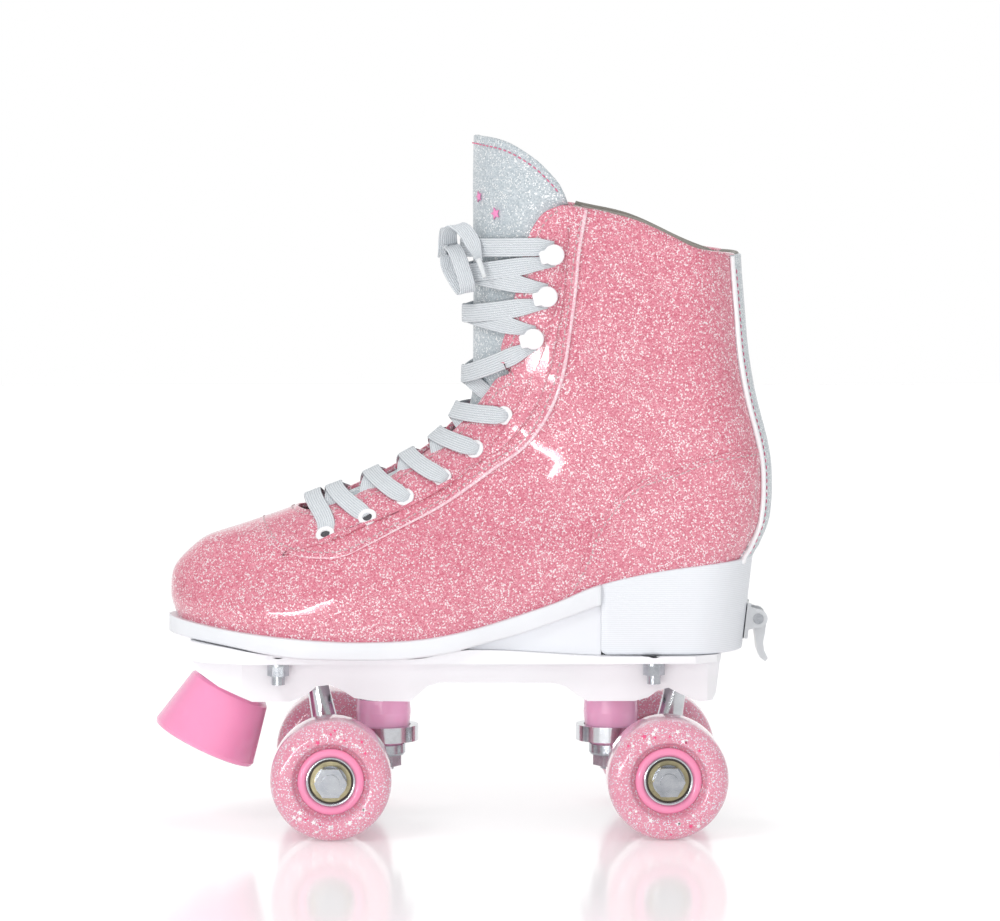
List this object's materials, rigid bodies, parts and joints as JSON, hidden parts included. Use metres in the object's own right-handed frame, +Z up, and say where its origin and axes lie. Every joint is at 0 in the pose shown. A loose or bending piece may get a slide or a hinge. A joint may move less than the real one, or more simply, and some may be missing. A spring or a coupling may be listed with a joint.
{
  "type": "quad roller skate",
  "caption": "High-boot quad roller skate with sprung trucks, spinning wheels, toe stop, laces and a lever-locked sliding heel.",
  "frame": {"origin": "on the ground, under the middle of the skate's box", "axes": "+X to the heel, +Y to the inner side of the foot, +Z up"},
  "size_m": [0.2802, 0.1398, 0.3122],
  "materials": {
    "white_nylon": "smooth moulded nylon",
    "sole_white": "moulded with fine horizontal lines",
    "pink_patent": "patent with glitter under a clear gloss coat",
    "grey_glitter": "fine glitter cloth",
    "lace_grey": "flat ribbed braid",
    "white_trim": "smooth gloss",
    "insole_cloth": "brushed cloth",
    "lining_cloth": "padded cloth",
    "rose_rubber": "smooth, slightly glossy",
    "cushion_rubber": "smooth urethane",
    "zinc_steel": "bright zinc plated",
    "bearing_steel": "ground rings with pale gold shields",
    "polished_alloy": "polished casting",
    "cup_nylon": "moulded",
    "glitter_urethane": "clear pink urethane filled with glitter",
    "hub_nylon": "moulded"
  },
  "bodies": {
    "chassis": {"plate": "white_nylon", "arch_wedge": "white_nylon", "front_sole": "sole_white", "vamp": "pink_patent", "quarter_left": "pink_patent", "quarter_right": "pink_patent", "eyestay_left": "pink_patent", "eyestay_right": "pink_patent", "tongue": "grey_glitter", "lace": "lace_grey", "lace_knot": "lace_grey", "lace_bow": "lace_grey", "eyelets": "white_trim", "lace_hooks": "white_trim", "insole_front": "insole_cloth", "toe_stop": "rose_rubber", "toe_stop_bolt": "zinc_steel", "mounting_bolts": "zinc_steel", "mounting_nuts": "zinc_steel", "kingpins": "zinc_steel", "kingpin_nuts": "zinc_steel", "cushion_washers": "zinc_steel", "pivot_cups": "cup_nylon", "front_cushion_upper": "cushion_rubber", "front_cushion_lower": "cushion_rubber", "rear_cushion_upper": "cushion_rubber", "rear_cushion_lower": "cushion_rubber"},
    "front_truck": {"front_hanger": "polished_alloy", "front_axle": "zinc_steel", "front_axle_nuts": "zinc_steel", "front_axle_washers": "zinc_steel", "front_bearing_inners": "bearing_steel"},
    "rear_truck": {"rear_hanger": "polished_alloy", "rear_axle": "zinc_steel", "rear_axle_nuts": "zinc_steel", "rear_axle_washers": "zinc_steel", "rear_bearing_inners": "bearing_steel"},
    "wheel_front_left": {"tyre_front_left": "glitter_urethane", "hub_front_left": "hub_nylon", "bearings_front_left": "bearing_steel"},
    "wheel_front_right": {"tyre_front_right": "glitter_urethane", "hub_front_right": "hub_nylon", "bearings_front_right": "bearing_steel"},
    "wheel_rear_left": {"tyre_rear_left": "glitter_urethane", "hub_rear_left": "hub_nylon", "bearings_rear_left": "bearing_steel"},
    "wheel_rear_right": {"tyre_rear_right": "glitter_urethane", "hub_rear_right": "hub_nylon", "bearings_rear_right": "bearing_steel"},
    "heel_carriage": {"heel_block": "sole_white", "heel_quarter": "pink_patent", "heel_counter": "pink_patent", "backstay": "grey_glitter", "piping": "white_trim", "collar_lining": "lining_cloth", "insole_rear": "insole_cloth", "lever_bracket": "polished_alloy", "lever_pin": "zinc_steel"},
    "lock_lever": {"lever": "polished_alloy"}
  },
  "joints": [
    {"name": "front_truck_lean", "type": "hinge", "parent": "chassis", "child": "front_truck", "pos_m": [-0.068, 0, 0.07], "axis": [-0.7299, 0, 0.6836], "range_deg": [-8, 8], "stiffness_Nm_per_rad": 6, "deforming": ["front_cushion_upper", "front_cushion_lower"]},
    {"name": "rear_truck_lean", "type": "hinge", "parent": "chassis", "child": "rear_truck", "pos_m": [0.099, 0, 0.07], "axis": [0.7299, 0, 0.6836], "range_deg": [-8, 8], "stiffness_Nm_per_rad": 6, "deforming": ["rear_cushion_upper", "rear_cushion_lower"]},
    {"name": "wheel_front_left_spin", "type": "hinge", "parent": "front_truck", "child": "wheel_front_left", "pos_m": [-0.0595, -0.05, 0.027], "axis": [0, 1, 0], "continuous": true},
    {"name": "wheel_front_right_spin", "type": "hinge", "parent": "front_truck", "child": "wheel_front_right", "pos_m": [-0.0595, 0.05, 0.027], "axis": [0, 1, 0], "continuous": true},
    {"name": "wheel_rear_left_spin", "type": "hinge", "parent": "rear_truck", "child": "wheel_rear_left", "pos_m": [0.0905, -0.05, 0.027], "axis": [0, 1, 0], "continuous": true},
    {"name": "wheel_rear_right_spin", "type": "hinge", "parent": "rear_truck", "child": "wheel_rear_right", "pos_m": [0.0905, 0.05, 0.027], "axis": [0, 1, 0], "continuous": true},
    {"name": "heel_slide", "type": "slide", "parent": "chassis", "child": "heel_carriage", "axis": [1, 0, 0], "range_m": [0, 0.018]},
    {"name": "lock_lever_swing", "type": "hinge", "parent": "heel_carriage", "child": "lock_lever", "pos_m": [0.1342, 0, 0.093], "axis": [0, -1, 0], "range_deg": [0, 100]}
  ]
}
